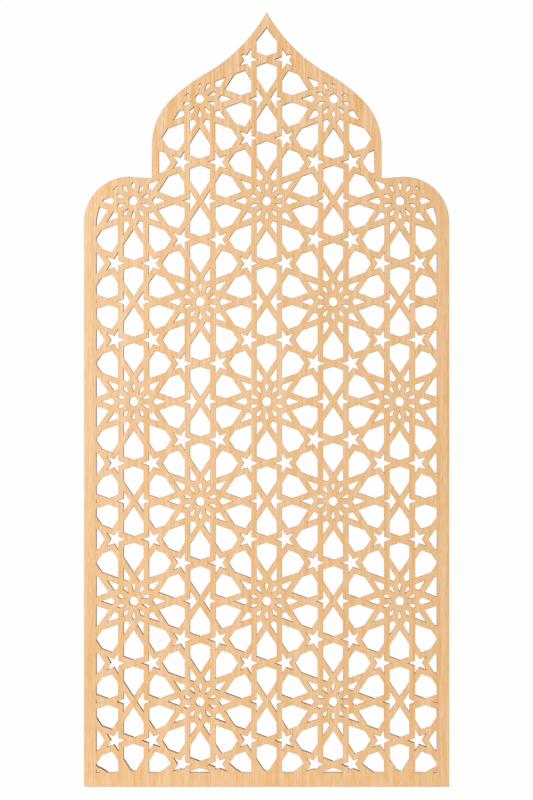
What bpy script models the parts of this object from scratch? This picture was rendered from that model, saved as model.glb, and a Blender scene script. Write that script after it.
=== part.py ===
"""Mashrabiya screen: a flat sheet of birch plywood with an ogee head, cut through with ten-rayed stars.

Run it with blender --background --python part.py. Units are metres. X runs across the panel, Z up it and Y
through it: the front face looks along -Y and the back face lies in the plane Y = 0. The origin is on the
back face, in the middle of the bottom rail, where the panel is fixed.

The pattern is a net of straight straps. Ten-rayed rosettes stand on a lattice, every second crossing of its
columns and rows, with a plain X of straps on the crossings between them. Each opening is a polygon of the
net, drawn on the middle lines of its straps, and drawn in by half a strap. The net is worked out with true
angles of 18 and 36 degrees, and then stretched in height by the row spacing.
"""

import math

import bmesh
import bpy
from mathutils import Matrix, Vector
from mathutils.geometry import delaunay_2d_cdt

# The sheet.
WIDTH = 0.5662
THICKNESS = 0.006
RAIL = 0.022  # height of the plain bottom rail
STILE = 0.0190  # width of the plain border up each side
BASE = -RAIL / 2  # the sheet's bottom edge

# The head: a neck with square notches on round shoulders, under an ogee of two swelling arcs and one hollow.
SHOULDER_TOP = BASE + 0.9460
SHOULDER_RADIUS = 0.0707
NOTCH = BASE + 0.9433
NECK = 0.1782  # half the width of the head
SPRING = BASE + 0.9944  # where the ogee starts to turn in
OGEE_RADII = 0.0992, 0.2612, 0.2489
OGEE_TURNS = 45.6, 60.4  # degrees turned where one arc meets the next

# The plain border inside the head and the shoulders.
HEAD_MARGINS = 0.0112, 0.0106, 0.0086, 0.0124  # at the spring, where the arcs meet and at the point
SHOULDER_MARGIN = 0.0079
SHOULDER_LIFT = 0.0045  # the border's inner shoulder is rounder than the sheet's by this much
NOTCH_CLEAR = 0.001  # the border's inner notch stands this much wider than the sheet's

# The pattern.
COLUMN = 0.10315  # from one column of the lattice to the next
FIRST_ROW = BASE + 0.59723  # the row that has a rosette on the middle line
ROW = 0.15472, 0.00024, 0.00013  # spacing of the rows, which opens a little away from the first one
FLARE = 0.0009  # and of the columns, which opens towards the head
ROWS = 4
COLUMNS = 3
STRAP = 0.0084
STAR_STRAP = 0.0079  # the straps round a star are a little thinner
HUB_RADIUS = 0.0069
HUB_SIDES = 8

# The upper edge of the bottom rail, from a rosette's column to halfway to the next: (distance, rise).
SILL = (
    (0.0, 0.0025),
    (0.0028, 0.0029),
    (0.0057, 0.0053),
    (0.0155, 0.0),
    (0.0397, 0.0),
    (0.0487, 0.0060),
    (0.0586, 0.0143),
    (0.0602, 0.0003),
    (0.0722, 0.0051),
    (0.0798, 0.0051),
    (0.0822, 0.0),
    (COLUMN, 0.0),
)
SILL_END = 0.010  # the sill's climb into the stile
LEAST_OPENING = 60e-6  # square metres: what the border leaves of an opening below this stays wood
LEAST_PETAL = 0.2  # a petal that the border cuts to less than this share of its area stays wood


def polar(radius, degrees):
    angle = math.radians(degrees)
    return Vector((radius * math.cos(angle), radius * math.sin(angle)))


# Sizes of the net, each from the geometry of the ten-rayed star.
TRUE_ROW = COLUMN / math.tan(math.radians(36))
TIP = 2 * COLUMN * math.cos(math.radians(72))  # rosette's middle to the tips of its star
CORD = TIP * math.cos(math.radians(72))  # rosette's middle to the long straight lines that pass it
KNEE = CORD / math.cos(math.radians(36))
LEAF = CORD / math.cos(math.radians(54))
HEXAGON = 2 * CORD * math.tan(math.radians(54))
SLOPE = CORD * math.tan(math.radians(18))
STAR = (TRUE_ROW / 2 - TIP * math.sin(math.radians(36))) / (2 * math.sin(math.radians(36)))
STAR_HOLLOW = STAR * math.cos(math.radians(72)) / math.cos(math.radians(36))


def arc(centre, radii, start, end, steps):
    """Points on an arc, in degrees from +X towards +Z, both ends among them. Its radius goes evenly from the
    first of radii to the second."""
    shares = [i / steps for i in range(steps + 1)]
    return [centre + polar(radii[0] + (radii[1] - radii[0]) * s, start + (end - start) * s) for s in shares]


def mirrored(half):
    """A closed outline from its right half, which runs from the bottom up and ends on the middle line."""
    return half + [Vector((-point.x, point.y)) for point in reversed(half) if point.x > 1e-6]


def ogee(margins):
    """The right half of the head, from the spring to the point. What is taken off it goes evenly from each of
    four margins to the next: one at the spring, one where each arc meets the next, and one at the point."""
    lower, upper, hollow = OGEE_RADII
    first, second = OGEE_TURNS
    lower_centre = Vector((NECK - lower, SPRING))
    upper_centre = lower_centre + polar(lower - upper, first)
    hollow_centre = upper_centre + polar(upper + hollow, second)
    point = 180 + math.degrees(math.acos(hollow_centre.x / (hollow + margins[3])))
    return (
        arc(lower_centre, (lower - margins[0], lower - margins[1]), 0, first, 6)
        + arc(upper_centre, (upper - margins[1], upper - margins[2]), first, second, 3)[1:]
        + arc(hollow_centre, (hollow + margins[2], hollow + margins[3]), 180 + second, point, 6)[1:]
    )


def sheet_outline():
    """The sheet's edge: square feet, rounded shoulders, the notches and the ogee."""
    shoulder = Vector((WIDTH / 2 - SHOULDER_RADIUS, SHOULDER_TOP - SHOULDER_RADIUS))
    half = [Vector((WIDTH / 2, BASE))]
    half += arc(shoulder, (SHOULDER_RADIUS, SHOULDER_RADIUS), 0, 90, 10)
    half += [Vector((NECK, NOTCH))]
    return mirrored(half + ogee((0, 0, 0, 0)))


def sill():
    """The bottom rail's upper edge from the middle out to the stile, following SILL on each rosette's
    column."""
    edge = WIDTH / 2 - STILE
    points = []
    for centre in (0, 2 * COLUMN):
        for side in (-1, 1):
            for distance, rise in SILL[::side]:
                x = centre + side * distance
                if 0 <= x < edge and (not points or x > points[-1].x + 1e-6):
                    points.append(Vector((x, BASE + RAIL + rise)))
    return points


def field_outline():
    """The edge that the pattern is cut off at: the sill, the stiles, the shoulders and the head."""
    edge = WIDTH / 2 - STILE
    top = SHOULDER_TOP - SHOULDER_MARGIN
    shoulder = Vector((edge - SHOULDER_RADIUS, top + SHOULDER_LIFT - SHOULDER_RADIUS))
    level = math.degrees(math.asin((top - shoulder.y) / SHOULDER_RADIUS))
    half = sill()[1:] + [Vector((edge, BASE + RAIL + SILL_END))]
    half += arc(shoulder, (SHOULDER_RADIUS, SHOULDER_RADIUS), 0, level, 8)
    half += [Vector((NECK + NOTCH_CLEAR, top)), Vector((NECK - HEAD_MARGINS[0], NOTCH))]
    half += ogee(HEAD_MARGINS)
    return mirrored(half) + [sill()[0]]


def inset(corners, distance):
    """The polygon with each side moved in by distance. Its corners run anticlockwise."""
    moved = []
    for i, corner in enumerate(corners):
        before = (corner - corners[i - 1]).normalized()
        after = (corners[(i + 1) % len(corners)] - corner).normalized()
        normals = Matrix(((-before.y, before.x), (-after.y, after.x)))
        moved.append(corner + normals.inverted() @ Vector((distance, distance)))
    return moved


def mapped(corners, degrees=0, move=(0, 0), flip=(1, 1)):
    """The polygon turned about the origin, moved, and then flipped by the signs in flip, still
    anticlockwise."""
    turn = Matrix.Rotation(math.radians(degrees), 2)
    moved = [turn @ corner + Vector(move) for corner in corners]
    moved = [Vector((corner.x * flip[0], corner.y * flip[1])) for corner in moved]
    return moved if flip[0] * flip[1] > 0 else moved[::-1]


def drawn_in(*corners, strap=STRAP):
    """A polygon of the net with half a strap taken off it all round."""
    return inset([Vector(corner) for corner in corners], strap / 2)


def cell():
    """The openings round one rosette and round the plain crossing on its right: (kind, corners)."""
    openings = [("hub", [polar(HUB_RADIUS, 360 * (i + 0.5) / HUB_SIDES) for i in range(HUB_SIDES)])]
    flank = TIP * math.cos(math.radians(18))
    end = TRUE_ROW - HEXAGON
    petal = drawn_in(
        (LEAF, 0), (flank, -CORD), (end - SLOPE, -CORD), (end, 0), (end - SLOPE, CORD), (flank, CORD)
    )
    for i in range(10):
        openings.append(("petal", mapped(petal, 18 + 36 * i)))
    rays = [polar((STAR, STAR_HOLLOW)[i % 2], 36 * i) for i in range(10)]
    star = drawn_in(*rays, strap=STAR_STRAP)
    half = HEXAGON / 2
    side = HEXAGON - SLOPE
    hexagon = drawn_in((0, 0), (CORD, half), (CORD, side), (0, HEXAGON), (-CORD, side), (-CORD, half))
    spur = drawn_in((0, 0), (CORD, -half), (CORD, -SLOPE), (COLUMN - TIP, 0), (CORD, SLOPE), (CORD, half))
    for x in (1, -1):
        openings.append(("spur", mapped(mapped(spur, flip=(x, 1)), move=(COLUMN, 0))))
        openings.append(("hexagon", mapped(mapped(hexagon, flip=(1, x)), move=(COLUMN, 0))))
        for z in (1, -1):
            openings.append(("star", mapped(star, move=(COLUMN - STAR, HEXAGON), flip=(x, z))))
    return openings


def placed(corners, column, row):
    """A cell's polygon at its rosette's place on the panel, with the rows and the columns opened out as ROW
    and FLARE say."""
    even, lean, spread = ROW
    points = []
    for corner in corners:
        rise = corner.y / TRUE_ROW + row
        x = (corner.x + COLUMN * column) * (1 + FLARE * max(rise, 0) ** 2)
        points.append(Vector((x, FIRST_ROW + even * rise + lean * rise**2 + spread * rise**3)))
    return points


def area(corners):
    return abs(sum(a.cross(b) for a, b in zip(corners, corners[1:] + corners[:1]))) / 2


def inside(corners, field):
    """What of a polygon lies inside the field: no, one or more polygons."""
    faces = [list(range(len(corners))), list(range(len(corners), len(corners) + len(field)))]
    points, _, triangles, _, _, sources = delaunay_2d_cdt(corners + field, [], faces, 1, 1e-7)
    shared = [triangle for triangle, source in zip(triangles, sources) if len(source) == 2]
    sides = {(triangle[i - 1], triangle[i]) for triangle in shared for i in range(3)}
    following = {start: end for start, end in sides if (end, start) not in sides}
    pieces = []
    while following:
        start, here = following.popitem()
        piece = [start]
        while here != start:
            piece.append(here)
            here = following.pop(here)
        pieces.append([points[i] for i in piece])
    return pieces


def openings():
    """Every opening of the panel, with the ones at its edge cut off by the field."""
    field = field_outline()
    found = []
    for row in range(-ROWS, ROWS + 1):
        for column in range(-COLUMNS, COLUMNS + 1):
            if (row + column) % 2:
                continue
            for kind, corners in cell():
                whole = placed(corners, column, row)
                least = LEAST_PETAL * area(whole) if kind == "petal" else LEAST_OPENING
                found += [piece for piece in inside(whole, field) if area(piece) > least]
    return found


def cut_sheet(outline, cuts):
    """The sheet as a mesh: its face with the openings left out, taken back by the plywood's thickness."""
    points = list(outline)
    faces = [list(range(len(points)))]
    for cut in cuts:
        faces.append(list(range(len(points), len(points) + len(cut))))
        points += cut
    points, _, triangles, _, _, sources = delaunay_2d_cdt(points, [], faces, 1, 1e-7)
    shape = bmesh.new()
    corners = [shape.verts.new((point.x, -THICKNESS, point.y)) for point in points]
    for triangle, source in zip(triangles, sources):
        if source == [0]:
            shape.faces.new([corners[i] for i in triangle])
    back = bmesh.ops.extrude_face_region(shape, geom=shape.faces[:])
    moved = [item for item in back["geom"] if isinstance(item, bmesh.types.BMVert)]
    bmesh.ops.translate(shape, verts=moved, vec=(0, THICKNESS, 0))
    bmesh.ops.recalc_face_normals(shape, faces=shape.faces)
    mesh = bpy.data.meshes.new("screen_panel")
    shape.to_mesh(mesh)
    shape.free()
    return mesh


def plywood():
    """Pale birch, bare and sanded."""
    material = bpy.data.materials.new("birch_plywood")
    material.use_nodes = True
    surface = material.node_tree.nodes["Principled BSDF"]
    surface.inputs["Base Color"].default_value = (0.80, 0.56, 0.31, 1)
    surface.inputs["Roughness"].default_value = 0.6
    surface.inputs["Metallic"].default_value = 0.0
    return material


def build():
    for item in list(bpy.data.objects):
        bpy.data.objects.remove(item, do_unlink=True)
    panel = bpy.data.objects.new("screen_panel", cut_sheet(sheet_outline(), openings()))
    panel.data.materials.append(plywood())
    bpy.context.scene.collection.objects.link(panel)


build()
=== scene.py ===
import math

import bpy
import numpy as np
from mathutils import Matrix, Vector
from mathutils.geometry import delaunay_2d_cdt


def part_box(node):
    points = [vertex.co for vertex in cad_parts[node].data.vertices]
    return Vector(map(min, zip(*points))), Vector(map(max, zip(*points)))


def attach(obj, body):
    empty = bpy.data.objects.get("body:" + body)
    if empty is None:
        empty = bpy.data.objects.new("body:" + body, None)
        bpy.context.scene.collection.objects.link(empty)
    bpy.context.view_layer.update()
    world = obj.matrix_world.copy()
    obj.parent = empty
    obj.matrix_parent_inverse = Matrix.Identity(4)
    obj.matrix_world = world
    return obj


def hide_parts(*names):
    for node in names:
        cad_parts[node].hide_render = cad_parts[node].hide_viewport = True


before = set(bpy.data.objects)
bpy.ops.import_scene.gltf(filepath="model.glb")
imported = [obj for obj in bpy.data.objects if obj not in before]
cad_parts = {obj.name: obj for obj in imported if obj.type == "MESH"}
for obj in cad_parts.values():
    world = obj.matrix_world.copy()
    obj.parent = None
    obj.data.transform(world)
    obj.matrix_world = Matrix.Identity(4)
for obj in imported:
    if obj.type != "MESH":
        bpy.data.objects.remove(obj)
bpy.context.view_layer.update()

# ---- The blank ---------------------------------------------------------------------------------------------
# One flat sheet of six-millimetre birch plywood, cut by a laser to an ogee head on rounded shoulders, with a
# square notch on each shoulder. Its width, thickness and foot are the solid's. Everything drawn on the sheet
# is a row of complex numbers, x + iz, in metres.
lowest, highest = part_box("screen_panel")
FRONT, BACK, FOOT = lowest.y, highest.y, lowest.z
HALF_WIDTH = highest.x
SHOULDER_TOP = FOOT + 0.9460
SHOULDER_RADIUS = 0.0707
NOTCH = FOOT + 0.9433  # the corner between the shoulder and the head
NECK = 0.1782  # half the width of the head
SPRING = FOOT + 0.9944  # where the ogee starts to turn in
OGEE_RADII = 0.0992, 0.2612, 0.2489  # two swelling arcs, and the hollow one that ends in the point
OGEE_TURNS = 45.6, 60.4  # degrees turned where one arc meets the next
ARC_STEP = 0.0025
ON_MIDDLE = 1e-6  # a point this near the middle line has no mirror image of its own


def polar(radius, degrees):
    """Points at a distance from the origin, turned by degrees from +X towards +Z: r exp(i angle)."""
    return radius * np.exp(1j * np.radians(degrees))


def arc(centre, radii, start, end):
    """Points ARC_STEP apart on an arc between two angles in degrees, both ends among them. Its radius goes
    evenly from the first of radii to the second."""
    steps = math.ceil(abs(math.radians(end - start)) * radii[0] / ARC_STEP)
    return centre + polar(np.linspace(*radii, steps + 1), np.linspace(start, end, steps + 1))


def mirrored(half):
    """A closed outline from its right half, which runs from the foot up: the half, then -conj of it back."""
    return np.concatenate([half, -np.conj(half[half.real > ON_MIDDLE][::-1])])


def ogee(margins):
    """The right half of the head from the spring to the point, two swelling arcs and a hollow one that touch.
    What is taken off it goes evenly from each of four margins to the next: one at the spring, one where each
    arc meets the next, and one at the point. A swelling radius loses its margin, the hollow one gains it."""
    lower, upper, hollow = OGEE_RADII
    first, second = OGEE_TURNS
    lower_centre = complex(NECK - lower, SPRING)
    upper_centre = lower_centre + polar(lower - upper, first)
    hollow_centre = upper_centre + polar(upper + hollow, second)
    point = 180 + math.degrees(math.acos(hollow_centre.real / (hollow + margins[3])))
    return np.concatenate([
        arc(lower_centre, (lower - margins[0], lower - margins[1]), 0, first),
        arc(upper_centre, (upper - margins[1], upper - margins[2]), first, second)[1:],
        arc(hollow_centre, (hollow + margins[2], hollow + margins[3]), 180 + second, point)[1:],
    ])


shoulder_centre = complex(HALF_WIDTH - SHOULDER_RADIUS, SHOULDER_TOP - SHOULDER_RADIUS)
blank = mirrored(np.concatenate([
    [complex(HALF_WIDTH, FOOT)],
    arc(shoulder_centre, (SHOULDER_RADIUS, SHOULDER_RADIUS), 0, 90),
    [complex(NECK, NOTCH)],
    ogee((0, 0, 0, 0)),
]))

# ---- The field ---------------------------------------------------------------------------------------------
# The line where the border stops the pattern: a margin inside the head and the shoulders, a plain stile up
# each side, and a sill that humps and dips under the openings on the lowest row, so that none ends in a
# splinter.
COLUMN = 0.10315  # from one column of the lattice to the next
RAIL = 0.022  # height of the plain bottom rail
STILE = 0.0190  # width of the plain border up each side
HEAD_MARGINS = 0.0112, 0.0106, 0.0086, 0.0124  # at the spring, where the arcs meet and at the point
SHOULDER_MARGIN = 0.0079
SHOULDER_LIFT = 0.0045  # the field's shoulder is rounder than the sheet's by this much
SILL_END = 0.010  # the sill's climb into the stile
NOTCH_CLEAR = 0.001  # the field's shoulder ends this far outside the head
SILL = (  # (distance from a rosette's column, rise)
    (0.0, 0.0025),
    (0.0028, 0.0029),
    (0.0057, 0.0053),
    (0.0155, 0.0),
    (0.0397, 0.0),
    (0.0487, 0.0060),
    (0.0586, 0.0143),
    (0.0602, 0.0003),
    (0.0722, 0.0051),
    (0.0798, 0.0051),
    (0.0822, 0.0),
    (COLUMN, 0.0),
)
field_edge = HALF_WIDTH - STILE


def sill():
    """The right half of the sill: SILL read out from and back to the rosettes' columns, up to the stile."""
    rise = np.array(SILL)[:, 0] + 1j * np.array(SILL)[:, 1]
    back = 2 * COLUMN - rise.real + 1j * rise.imag
    line = np.concatenate([rise, back[::-1][1:], 2 * COLUMN + rise[1:]])
    return line[line.real < field_edge] + 1j * (FOOT + RAIL)


field_top = SHOULDER_TOP - SHOULDER_MARGIN
field_shoulder = complex(field_edge - SHOULDER_RADIUS, field_top + SHOULDER_LIFT - SHOULDER_RADIUS)
shoulder_end = math.degrees(math.asin((field_top - field_shoulder.imag) / SHOULDER_RADIUS))
field = mirrored(np.concatenate([
    sill(),
    [complex(field_edge, FOOT + RAIL + SILL_END)],
    arc(field_shoulder, (SHOULDER_RADIUS, SHOULDER_RADIUS), 0, shoulder_end),
    [complex(NECK + NOTCH_CLEAR, field_top), complex(NECK - HEAD_MARGINS[0], NOTCH)],
    ogee(HEAD_MARGINS),
]))

# ---- The openings ------------------------------------------------------------------------------------------
# The pattern is a net of straight straps. Ten-rayed rosettes stand on every second crossing of the lattice,
# with a plain X of straps between them. Each opening is a polygon of the net, drawn on the middle lines of
# its straps and then drawn in by half a strap. The angles are true ones of 18 and 36 degrees, and the rows
# stretch them in height.
FIRST_ROW = FOOT + 0.59723  # the row that has a rosette on the middle line
ROW = 0.15472, 0.00024, 0.00013  # spacing of the rows, which opens a little away from the first one
FLARE = 0.0009  # how much the spacing of the columns opens towards the head
ROWS, COLUMNS = 4, 3  # how many the lattice has to each side of the rosette on the middle line
STRAP = 0.0084
STAR_STRAP = 0.0079  # the straps round a star are a little thinner
HUB_RADIUS = 0.0067
HUB_SIDES = 32
LEAST_OPENING = 7e-6  # square metres: a smaller scrap at the border stays wood
LEAST_PETAL = 0.2  # a petal cut to less than this share of itself stays wood
SHORTEST_SIDE = 0.0003  # a shorter one, where the field cuts through a corner, is left out
SHARPEST = 0.15  # the least 1 + a.b that a corner is moved by
SAME_POINT = 1e-7  # metres between points that count as one
COVERED = 1  # asks the triangulation for the triangles that its faces cover, and no others
TRUE_ROW = COLUMN / math.tan(math.radians(36))  # spacing of the rows before they are stretched
TIP = 2 * COLUMN * math.cos(math.radians(72))  # rosette's middle to the tips of its star
CORD = TIP * math.cos(math.radians(72))  # rosette's middle to the long straight lines that pass it
KNEE = CORD / math.cos(math.radians(36))  # and to where those lines cross, at a leaf's sides
LEAF = CORD / math.cos(math.radians(54))  # and at a leaf's end
SLOPE = CORD * math.tan(math.radians(18))  # what a strap at 18 degrees climbs over CORD
HEXAGON = 2 * CORD * math.tan(math.radians(54))  # height of a hexagon, which stands on a plain crossing
# From a star's middle to its points, and to the hollows between them.
STAR = (TRUE_ROW / 2 - TIP * math.sin(math.radians(36))) / (2 * math.sin(math.radians(36)))
STAR_HOLLOW = STAR * math.cos(math.radians(72)) / math.cos(math.radians(36))


def moved_left(corners, distance):
    """A closed line with each side moved to its left by distance. A corner between sides with left normals a
    and b moves by distance (a + b) / (1 + a.b), and a very sharp one is held back by SHARPEST."""
    before = corners - np.roll(corners, 1)
    after = np.roll(corners, -1) - corners
    a, b = 1j * before / abs(before), 1j * after / abs(after)
    return corners + distance * (a + b) / np.maximum(1 + (a * b.conj()).real, SHARPEST)


def opening(*corners, strap=STRAP):
    """A polygon of the net, anticlockwise, drawn in by half a strap."""
    return moved_left(np.array(corners), strap / 2)


def flipped(corners, side, rise):
    """A polygon mirrored left to right where side is -1 and top to bottom where rise is -1, anticlockwise."""
    turned = side * corners.real + 1j * rise * corners.imag
    return turned if side * rise > 0 else turned[::-1]


def cell():
    """The openings round one rosette and round the plain crossing on its right, as (kind, corners)."""
    flank = TIP * math.cos(math.radians(18))
    end = TRUE_ROW - HEXAGON
    upper = np.array([flank + 1j * CORD, end - SLOPE + 1j * CORD])
    petal = opening(LEAF, *upper.conj(), end, *upper[::-1])
    leaf = opening(0, polar(KNEE, -18), LEAF, polar(KNEE, 18))
    kite = opening(polar(LEAF, -18), TIP, polar(LEAF, 18), KNEE)
    found = [("hub", polar(HUB_RADIUS, np.arange(HUB_SIDES) * 360 / HUB_SIDES))]
    for i in range(10):
        found.append(("petal", petal * polar(1, 18 + 36 * i)))
        found.append(("leaf", leaf * polar(1, 18 + 36 * i)))
        found.append(("kite", kite * polar(1, 36 * i)))
    right = np.array([CORD + 0.5j * HEXAGON, CORD + 1j * (HEXAGON - SLOPE)])
    hexagon = opening(0, *right, 1j * HEXAGON, *-right.conj()[::-1])
    upper = np.array([CORD + 1j * SLOPE, CORD + 0.5j * HEXAGON])
    spur = opening(0, *upper.conj()[::-1], COLUMN - TIP, *upper)
    rays = np.where(np.arange(10) % 2 == 0, STAR, STAR_HOLLOW) * polar(1, 36 * np.arange(10))
    star = opening(*rays, strap=STAR_STRAP) + COLUMN - STAR + 1j * HEXAGON
    for side in (1, -1):
        found.append(("spur", flipped(spur, side, 1) + COLUMN))
        found.append(("hexagon", flipped(hexagon, 1, side) + COLUMN))
        found.append(("star", flipped(star, side, 1)))
        found.append(("star", flipped(star, side, -1)))
    return found


def placed(corners, column, row):
    """A cell's polygon at its rosette's place: n rows up, z = first row + even n + lean n^2 + spread n^3, and
    above the first row x grows by the share flare n^2."""
    even, lean, spread = ROW
    n = corners.imag / TRUE_ROW + row
    x = (corners.real + COLUMN * column) * (1 + FLARE * np.maximum(n, 0) ** 2)
    return x + 1j * (FIRST_ROW + even * n + lean * n**2 + spread * n**3)


def area(corners):
    """Half the sum of the cross products of each corner and the next."""
    return (corners.conj() * np.roll(corners, -1)).imag.sum() / 2


def planar(points):
    """Complex numbers as pairs, for the triangulation."""
    return np.column_stack((points.real, points.imag)).tolist()


def inside(corners, limit):
    """What of a polygon lies inside another: the triangles that both cover, and the closed lines round it."""
    faces = [list(range(len(corners))), list(range(len(corners), len(corners) + len(limit)))]
    line = planar(np.concatenate([corners, limit]))
    points, _, triangles, _, _, sources = delaunay_2d_cdt(line, [], faces, COVERED, SAME_POINT)
    shared = [triangle for triangle, source in zip(triangles, sources) if len(source) == 2]
    sides = {(triangle[i - 1], triangle[i]) for triangle in shared for i in range(3)}
    following = {start: end for start, end in sides if (end, start) not in sides}
    pieces = []
    while following:
        start, here = following.popitem()
        piece = [start]
        while here != start:
            piece.append(here)
            here = following.pop(here)
        piece = np.array([complex(*points[i]) for i in piece])
        pieces.append(piece[abs(piece - np.roll(piece, 1)) > SHORTEST_SIDE])
    return pieces


def openings():
    """Every opening of the panel, with the ones at its edge cut off by the field."""
    found = []
    for row in range(-ROWS, ROWS + 1):
        for column in range(-COLUMNS + (row + COLUMNS) % 2, COLUMNS + 1, 2):
            for kind, corners in cell():
                whole = placed(corners, column, row)
                least = LEAST_PETAL * area(whole) if kind == "petal" else LEAST_OPENING
                found += [piece for piece in inside(whole, field) if area(piece) > least]
    return found


# A little three-cornered opening is left in each foot of the field, between the sill and the stile.
SCRAP_WIDTH, SCRAP_HEIGHT = 0.0054, 0.0042
scrap = complex(field_edge, FOOT + RAIL) + np.array([0, 1j * SCRAP_HEIGHT, -SCRAP_WIDTH])

# ---- The cut panel -----------------------------------------------------------------------------------------
# The sheet with every opening burnt through it. A cut runs straight through with a fine arris at both faces,
# and the wood beside it is toasted for a little under a millimetre. Rings of points follow every cut, with
# the wood on their left: the blank's outline anticlockwise, the openings clockwise.
ARRIS = 0.0002
TOASTED = 0.0008  # how far the toast reaches from a cut
SECTION = (  # (drawn back from the cut, place through the sheet, burn)
    (TOASTED, FRONT, 0.0),
    (ARRIS, FRONT, 0.7),
    (0, FRONT + ARRIS, 1.0),
    (0, BACK - ARRIS, 1.0),
    (ARRIS, BACK, 0.7),
    (TOASTED, BACK, 0.0),
)
WALL = 2  # the band between rings that is cut edge, not face
SHARP_EDGE = 25  # degrees: faces that meet at more than this keep a crisp edge
SAME_RING_POINT = 1e-9  # metres between points of the rings that count as one
SHADE_FACING_WAY = polar(1, 15)  # painted shade darkens cuts that face this way, right and a little up, from the key light
cuts = [blank] + [corners[::-1] for corners in openings() + [scrap, flipped(scrap, -1, 1)]]
starts = np.cumsum([0] + [len(cut) for cut in cuts])
count = starts[-1]
following = np.arange(count) + 1
following[starts[1:] - 1] = starts[:-1]


def ring(back, y):
    """Every cut drawn back into the wood, at one depth in the sheet."""
    line = np.concatenate([moved_left(cut, back) for cut in cuts])
    return np.column_stack((line.real, np.full(count, y), line.imag))


def cap():
    """Triangles of one face of the sheet, between the outer rings: those of the blank's line, less what the
    openings' lines cover."""
    line = np.concatenate([moved_left(cut, TOASTED) for cut in cuts])
    faces = [list(range(starts[0], starts[1]))]
    faces += [list(range(end - 1, start - 1, -1)) for start, end in zip(starts[1:], starts[2:])]
    _, _, triangles, _, _, sources = delaunay_2d_cdt(planar(line), [], faces, COVERED, SAME_RING_POINT)
    return np.array([triangle for triangle, source in zip(triangles, sources) if source == [0]])


def panel_mesh():
    """The rings of SECTION joined by four-sided faces, and closed by the cap on the front and its mirror
    behind. Attribute burn is SECTION's; the other one, from 0 to 1, is how far the side of a cut faces right
    and a little up, away from the key light, and it paints shade on the cut's walls and arrises."""
    here = np.arange(count)
    front = cap()
    bands = [
        np.column_stack((here, here + count, following + count, following)) + level * count
        for level in range(len(SECTION) - 1)
    ]
    behind = front[:, ::-1] + (len(SECTION) - 1) * count
    mesh = bpy.data.meshes.new("fretted_panel")
    points = np.concatenate([ring(back, y) for back, y, _ in SECTION])
    mesh.from_pydata(points, [], np.concatenate([front, behind]).tolist() + np.concatenate(bands).tolist())
    burn = mesh.attributes.new("burn", "FLOAT", "POINT")
    burn.data.foreach_set("value", np.repeat([level[2] for level in SECTION], count).astype(np.float32))
    line = np.concatenate(cuts)
    side = line[following] - line
    outward = -1j * side / abs(side)
    # painted shade: 1 where a cut's side faces right and a little up, away from the key light, 0 facing it
    facing = (1 + (outward * SHADE_FACING_WAY.conj()).real) / 2
    facing = np.append(np.zeros(front.size + behind.size), np.tile(np.repeat(facing, 4), len(bands)))
    shade_facing = mesh.attributes.new("shade_facing", "FLOAT", "CORNER")
    shade_facing.data.foreach_set("value", facing.astype(np.float32))
    band = np.append(np.full(len(front) + len(behind), -1), np.repeat(np.arange(len(bands)), count))
    mesh.polygons.foreach_set("material_index", (band == WALL).astype(np.int32))
    mesh.validate()
    mesh.shade_smooth()
    mesh.set_sharp_from_angle(angle=math.radians(SHARP_EDGE))
    return mesh


panel = bpy.data.objects.new("fretted_panel", panel_mesh())
bpy.context.scene.collection.objects.link(panel)
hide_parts("screen_panel")
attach(panel, "root")

# ---- The face ----------------------------------------------------------------------------------------------
# Birch veneer, sanded and left bare. It is peeled from the log, so its grain runs up the panel in long soft
# bands, short fine flecks and a few thin darker lines. The laser has toasted it along the cuts; the toast is
# full only where a cut's edge faces right, away from the key light, which is painted shade.
PALE = 0.825, 0.560, 0.322  # the wood's palest tone
TAN = 0.760, 0.415, 0.140  # and its darkest
RUST = 0.70, 0.300, 0.060  # the thin lines
TOAST = 0.34, 0.125, 0.035
WANDER = 0.012  # how far the grain strays sideways in all
SWAY = 0.09, 0.5, 0.16  # and over what distances across, through and along the panel
# The size of each kind of spot across, through and along the grain, and how far it moves the tone, where 1 is
# all the way from PALE to TAN.
FLECK, FLECK_DEPTH = (0.0009, 0.0009, 0.014), 2.0
BAND, BAND_DEPTH = (0.010, 0.05, 0.42), 1.6
FIBRE, FIBRE_DEPTH = (0.00045, 0.00045, 0.012), 1.2
STREAK, STREAK_DEPTH = (0.0045, 0.03, 0.09), 3.6
FIGURED = 0.93, 1.00  # the heights between which the streaks and lines, the wood's figure, grow stronger
FIGURE_BELOW = 0.25  # the figure below those heights, where it is 1 above them
LINES_APART = 0.011
LINE_SHARE = 0.075  # half a line's width, as a share of the distance between two
LINE_SLANT = 3.0  # how far the lines lean sideways for each metre through the sheet
LINE_REACH = 0.02, 0.05, 0.07  # how far a line shows before it fades
LINE_SHOWS = 0.36, 0.56  # the noise at which a line starts to show, and at which it shows in full
LINE_STEADY = 0.4  # the share of a line's strength that doesn't follow the figure
ARRIS_SHADE_FACING = 0.0, 0.5  # painted shade: how far an edge faces right at which its toast is least, and at which it is full
# the share of the toast left where an edge faces left, towards the key light, which is painted lighter
LIT_SIDE_TOAST = 0.3
MOSTLY = 0.3, 0.7  # nearly all of a noise lies between these
FACE_ROUGHNESS = 0.40, 0.50
RELIEF = 0.0001  # depth of the fibres, and later of the ripple in the cut edge
FACE_RELIEF = 0.35  # the share of it that shows


def put(tree, kind, values, **settings):
    """A node with its settings and its input sockets, each given a value or joined to another's socket."""
    node = tree.nodes.new("ShaderNode" + kind)
    for name, value in settings.items():
        setattr(node, name, value)
    for socket, value in values.items():
        if isinstance(value, bpy.types.NodeSocket):
            tree.links.new(value, node.inputs[socket])
        else:
            node.inputs[socket].default_value = value
    return node


def number(tree, operation, *values):
    """One step of arithmetic."""
    return put(tree, "Math", dict(enumerate(values)), operation=operation).outputs[0]


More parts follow.
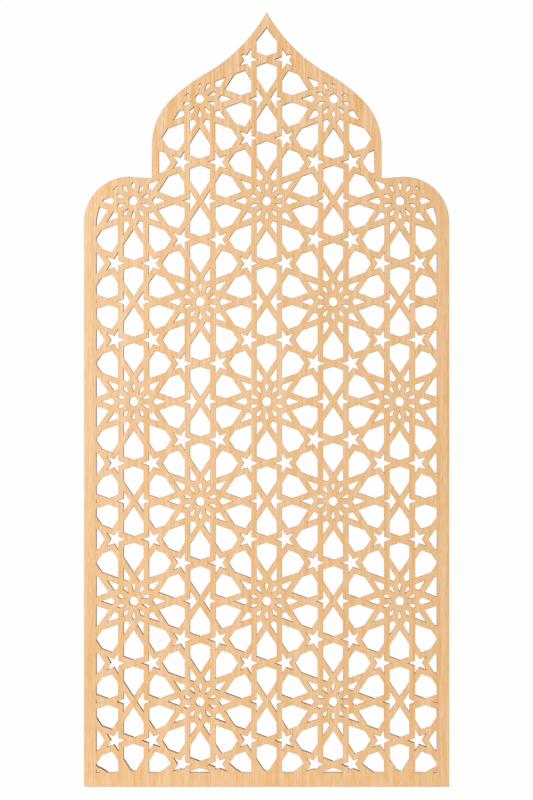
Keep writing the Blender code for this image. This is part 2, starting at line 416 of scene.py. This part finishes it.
def noise(tree, place, finest, detail=2.0):
    """Noise from 0 to 1, with spots of the size finest along each axis, in metres."""
    scaled = put(tree, "VectorMath", {0: place, 1: [1 / size for size in finest]}, operation="MULTIPLY")
    return put(tree, "TexNoise", {"Vector": scaled.outputs[0], "Scale": 1, "Detail": detail}).outputs[0]


def ramp(tree, value, start, end, low=0.0, high=1.0):
    """A value's share of the way from start to end, smoothed and held between low and high."""
    sockets = {"Value": value, "From Min": start, "From Max": end, "To Min": low, "To Max": high}
    return put(tree, "MapRange", sockets, interpolation_type="SMOOTHSTEP").outputs[0]


def mixed(tree, share, first, second):
    """The first colour, and share of the second over it."""
    colours = [value if isinstance(value, bpy.types.NodeSocket) else (*value, 1) for value in (first, second)]
    return put(tree, "Mix", {0: share, 6: colours[0], 7: colours[1]}, data_type="RGBA").outputs[2]


def stored(tree, name):
    """One of the panel mesh's own attributes."""
    return put(tree, "Attribute", {}, attribute_name=name).outputs["Fac"]


def varied(tree, base, value, strength):
    """A base value made uneven by a value from 0 to 1: base + strength (value - 1/2)."""
    return number(tree, "MULTIPLY_ADD", number(tree, "SUBTRACT", value, 0.5), strength, base)


def grain_group():
    """Birch grain from a place in metres with the grain along Z: Tone from 0, pale, to 1, tan; Line, the thin
    dark growth lines; and Fibre, the fine streaks of the wood's surface."""
    tree = bpy.data.node_groups.new("birch_grain", "ShaderNodeTree")
    tree.interface.new_socket("Place", in_out="INPUT", socket_type="NodeSocketVector")
    for name in ("Tone", "Line", "Fibre"):
        tree.interface.new_socket(name, in_out="OUTPUT", socket_type="NodeSocketFloat")
    place = tree.nodes.new("NodeGroupInput").outputs["Place"]
    sway = varied(tree, 0.0, noise(tree, place, SWAY, detail=1.0), WANDER)
    sway = put(tree, "CombineXYZ", {"X": sway}).outputs[0]
    grain = put(tree, "VectorMath", {0: place, 1: sway}, operation="ADD").outputs[0]
    side, depth, height = (put(tree, "SeparateXYZ", {0: grain}).outputs[axis] for axis in "XYZ")
    figure = ramp(tree, height, *FIGURED, FIGURE_BELOW, 1.0)
    fibre = noise(tree, grain, FIBRE, detail=3.0)
    tone = varied(tree, 0.5, noise(tree, grain, FLECK), FLECK_DEPTH)
    tone = varied(tree, tone, noise(tree, grain, BAND), BAND_DEPTH)
    tone = varied(tree, tone, fibre, FIBRE_DEPTH)
    tone = varied(tree, tone, noise(tree, grain, STREAK), number(tree, "MULTIPLY", figure, STREAK_DEPTH))
    across = number(tree, "MULTIPLY_ADD", depth, LINE_SLANT, side)
    sockets = {"W": across, "Scale": 1 / LINES_APART}
    line = put(tree, "TexVoronoi", sockets, voronoi_dimensions="1D", feature="DISTANCE_TO_EDGE")
    line = ramp(tree, line.outputs["Distance"], LINE_SHARE, 0.0)
    shown = ramp(tree, noise(tree, place, LINE_REACH), *LINE_SHOWS)
    strength = number(tree, "MULTIPLY_ADD", figure, 1 - LINE_STEADY, LINE_STEADY)
    line = number(tree, "MULTIPLY", line, number(tree, "MULTIPLY", shown, strength))
    outputs = tree.nodes.new("NodeGroupOutput").inputs
    for name, value in (("Tone", tone), ("Line", line), ("Fibre", fibre)):
        tree.links.new(value, outputs[name])
    return tree


birch_grain = grain_group()


def veneer():
    """The sanded face: pale to tan by the grain's tone, rust along its lines, and toasted beside the cuts,
    the toast darkened by painted shade where a cut's edge faces right, away from the key light.
    """
    material = bpy.data.materials.new("birch_veneer")
    material.use_nodes = True
    tree = material.node_tree
    place = put(tree, "TexCoord", {}).outputs["Object"]
    grain = put(tree, "Group", {}, node_tree=birch_grain)
    tree.links.new(place, grain.inputs["Place"])
    tone, line, fibre = (grain.outputs[name] for name in ("Tone", "Line", "Fibre"))
    wood = mixed(tree, tone, PALE, TAN)
    wood = mixed(tree, line, wood, RUST)
    # painted shade: the toast is full where an edge faces right, away from the key light, and weaker facing
    # it
    shade_facing = ramp(tree, stored(tree, "shade_facing"), *ARRIS_SHADE_FACING, LIT_SIDE_TOAST, 1.0)
    wood = mixed(tree, number(tree, "MULTIPLY", stored(tree, "burn"), shade_facing), wood, TOAST)
    surface = tree.nodes["Principled BSDF"]
    tree.links.new(wood, surface.inputs["Base Color"])
    tree.links.new(ramp(tree, fibre, *MOSTLY, *FACE_ROUGHNESS), surface.inputs["Roughness"])
    bump = put(tree, "Bump", {"Strength": FACE_RELIEF, "Distance": RELIEF, "Height": fibre})
    tree.links.new(bump.outputs[0], surface.inputs["Normal"])
    return material


panel.data.materials.append(veneer())

# ---- The cut edge ------------------------------------------------------------------------------------------
# The wall that the laser leaves: five plies, every second one laid across, with thin glue lines between them.
# It is charred and finely rippled. Its tone is also painted shade and light: nearly black where it faces
# right, away from the key light, and pale and greyish where it faces left, towards it.
PLIES = 5
PAINTED_LIT_WALL = 0.80, 0.65, 0.52  # painted light: the wall where it faces left, towards the key light, pale and greyish
CHAR_IN_SHADE = 0.20, 0.075, 0.025  # and where it faces right: real char, with painted shade in it
GLUE = 0.10, 0.055, 0.03
DARKENS_FACING_RIGHT = 0.5, 0.95  # painted shade: how far a wall faces right at which it starts to darken, and at which it is darkest
LIT_SIDE_DARKENS = 0.4, 0.0  # how far a wall faces right at which one turned towards the key light darkens again, and most
LIT_SIDE_DARKENING = 0.6  # and how much, which tones down the painted light on those walls
PLY_CHAR = 0.2  # how much more a ply burns that is laid across
SPOT, SPOT_CHAR = (0.035, 0.035, 0.035), 0.2  # the size of uneven spots in the char, and their strength
RIPPLE, RIPPLE_CHAR = (0.0005, 0.02, 0.0005), 0.3  # the same for the ripple
GLUE_LINE = 0.43, 0.5  # where the glue starts and is darkest, from a ply's middle, as shares of the ply
GLUE_SHARE = 0.5
EDGE_ROUGHNESS = 0.40, 0.85
ROUGHEST = 0.9  # the char and painted shade at which the edge is roughest
EDGE_RELIEF = 0.5  # the share of RELIEF that shows


def cut_edge():
    """The burnt wall of a cut. Its darkness, from 0 where it is pale to 1 where it is black, is painted shade
    and light by the way the wall faces, black facing right and pale facing the key light, a little more char
    on the plies laid across, and made uneven by spots and by the ripple."""
    material = bpy.data.materials.new("charred_and_shaded_edge")
    material.use_nodes = True
    tree = material.node_tree
    place = put(tree, "TexCoord", {}).outputs["Object"]
    depth = put(tree, "SeparateXYZ", {0: place}).outputs["Y"]
    ply = number(tree, "MULTIPLY_ADD", depth, PLIES / (BACK - FRONT), -FRONT * PLIES / (BACK - FRONT))
    within = number(tree, "PINGPONG", ply, 1.0)
    turned = number(tree, "PINGPONG", number(tree, "FLOOR", ply), 1.0)
    char = ramp(tree, noise(tree, place, SPOT, detail=3.0), *MOSTLY)
    ripple = noise(tree, place, RIPPLE)
    # painted shade and light: walls that face right, away from the key light, darken; those facing it stay
    # pale
    shade_facing = stored(tree, "shade_facing")
    lit_side_dimming = ramp(tree, shade_facing, *LIT_SIDE_DARKENS, 0.0, LIT_SIDE_DARKENING)
    painted_shade = number(tree, "ADD", ramp(tree, shade_facing, *DARKENS_FACING_RIGHT), lit_side_dimming)
    char_and_shade = number(tree, "MULTIPLY_ADD", turned, PLY_CHAR, painted_shade)
    char_and_shade = varied(tree, char_and_shade, char, SPOT_CHAR)
    char_and_shade = varied(tree, char_and_shade, ripple, RIPPLE_CHAR)
    wall = mixed(tree, char_and_shade, PAINTED_LIT_WALL, CHAR_IN_SHADE)
    from_middle = number(tree, "ABSOLUTE", number(tree, "SUBTRACT", within, 0.5))
    glue = ramp(tree, from_middle, *GLUE_LINE, 0.0, GLUE_SHARE)
    wall = mixed(tree, glue, wall, GLUE)
    surface = tree.nodes["Principled BSDF"]
    tree.links.new(wall, surface.inputs["Base Color"])
    tree.links.new(ramp(tree, char_and_shade, 0.0, ROUGHEST, *EDGE_ROUGHNESS), surface.inputs["Roughness"])
    bump = put(tree, "Bump", {"Strength": EDGE_RELIEF, "Distance": RELIEF, "Height": ripple})
    tree.links.new(bump.outputs[0], surface.inputs["Normal"])
    return material


panel.data.materials.append(cut_edge())

# ---- The studio --------------------------------------------------------------------------------------------
# A white room with a white floor, which the camera sees as plain white and which lights the panel evenly. The
# room is brighter behind the panel and dark on its right. One large softbox stands to the left of the camera.
CAMERA_DISTANCE = 2.0
FRAME_HEIGHT = 1.2403  # how much of the panel's plane shows from top to bottom
EYE_LEVEL = 0.5887  # height of the camera
EYE_SIDE = -0.0002  # the camera stands a hair to the left of the middle
SENSOR = 36.0  # millimetres
SIGHT = 100  # how far the camera sees
WHITE = 0.992  # what the camera sees of the room and its floor
ROOM = 1.02  # the light from the room in front of the panel
BACKDROP = 2.0  # and from behind it
BEHIND = -0.1, 0.4  # how far back a direction points where the backdrop's light starts and where it is full
SHADE_SIDE = 0.4  # how far to the right the room's light falls off
SHADE_LEAST = 0.03  # and the share of it that is left there
FLOOR_SHARES = 0.35, 1.15  # the floor's share of the room's light, in front of the panel and a metre behind
FLOOR_REACH = 0.35  # what a metre on the floor counts for, where a direction's length is 1
FLOOR_EDGE = 30  # from the middle of the floor to each edge
KEY_TURN = 25  # degrees from the camera
KEY_DISTANCE = 14.0
KEY_RISE = 1.25  # above the camera
KEY_SIZE = 4.35
KEY_POWER = 1405  # watts


def room_light():
    """How bright the room is in a direction, or at a place on its floor: brighter behind the panel, as a lit
    white backdrop is, and dark on the right, where the lattice's walls are to fall into shade."""
    tree = bpy.data.node_groups.new("room_light", "ShaderNodeTree")
    tree.interface.new_socket("Place", in_out="INPUT", socket_type="NodeSocketVector")
    tree.interface.new_socket("Strength", in_out="OUTPUT", socket_type="NodeSocketFloat")
    place = tree.nodes.new("NodeGroupInput").outputs["Place"]
    right, away = (put(tree, "SeparateXYZ", {0: place}).outputs[axis] for axis in "XY")
    side = ramp(tree, right, SHADE_SIDE, 0.0, SHADE_LEAST, 1.0)
    depth = ramp(tree, away, *BEHIND, ROOM, BACKDROP)
    output = tree.nodes.new("NodeGroupOutput")
    tree.links.new(number(tree, "MULTIPLY", side, depth), output.inputs["Strength"])
    return tree


light_of_room = room_light()


def glowing(tree, place, share, target):
    """Plain white to the camera, and a share of the room's own light to everything that it lights."""
    given = put(tree, "Group", {}, node_tree=light_of_room)
    tree.links.new(place, given.inputs["Place"])
    given = number(tree, "MULTIPLY", given.outputs["Strength"], share)
    straight = put(tree, "LightPath", {}).outputs["Is Camera Ray"]
    seen = number(tree, "MULTIPLY_ADD", straight, number(tree, "SUBTRACT", WHITE, given), given)
    tree.links.new(seen, target)


white = bpy.data.materials.new("white_floor")
white.use_nodes = True
tree = white.node_tree
surface = tree.nodes["Principled BSDF"]
surface.inputs["Base Color"].default_value = (0, 0, 0, 1)
surface.inputs["Specular IOR Level"].default_value = 0
surface.inputs["Emission Color"].default_value = (1, 1, 1, 1)
place = put(tree, "TexCoord", {}).outputs["Object"]
share = ramp(tree, put(tree, "SeparateXYZ", {0: place}).outputs["Y"], 0.0, 1.0, *FLOOR_SHARES)
place = put(tree, "VectorMath", {0: place, "Scale": FLOOR_REACH}, operation="SCALE").outputs[0]
glowing(tree, place, share, surface.inputs["Emission Strength"])
corners = [(FLOOR_EDGE * x, FLOOR_EDGE * y, FOOT) for x, y in ((-1, -1), (1, -1), (1, 1), (-1, 1))]
floor_mesh = bpy.data.meshes.new("floor")
floor_mesh.from_pydata(corners, [], [(0, 1, 2, 3)])
floor_mesh.materials.append(white)
floor = bpy.data.objects.new("floor", floor_mesh)
bpy.context.scene.collection.objects.link(floor)

world = bpy.data.worlds.new("white_room")
world.use_nodes = True
tree = world.node_tree
background = tree.nodes["Background"]
background.inputs["Color"].default_value = (1, 1, 1, 1)
glowing(tree, put(tree, "TexCoord", {}).outputs["Generated"], 1.0, background.inputs["Strength"])
bpy.context.scene.world = world

middle = Vector((0, 0, EYE_LEVEL))
turn = math.radians(KEY_TURN)
lamp = bpy.data.lights.new("key", "AREA")
lamp.size = KEY_SIZE
lamp.energy = KEY_POWER
key = bpy.data.objects.new("key", lamp)
key.location = middle + Vector((-KEY_DISTANCE * math.sin(turn), -KEY_DISTANCE * math.cos(turn), KEY_RISE))
key.rotation_euler = (middle - key.location).to_track_quat("-Z", "Y").to_euler()
bpy.context.scene.collection.objects.link(key)

camera = bpy.data.cameras.new("camera")
camera.sensor_width = SENSOR
camera.lens = SENSOR * CAMERA_DISTANCE / FRAME_HEIGHT
camera.clip_end = SIGHT
viewer = bpy.data.objects.new("camera", camera)
viewer.location = (EYE_SIDE, FRONT - CAMERA_DISTANCE, EYE_LEVEL)
viewer.rotation_euler = (math.radians(90), 0, 0)
bpy.context.scene.collection.objects.link(viewer)
bpy.context.scene.camera = viewer
bpy.context.scene.view_settings.view_transform = "Standard"
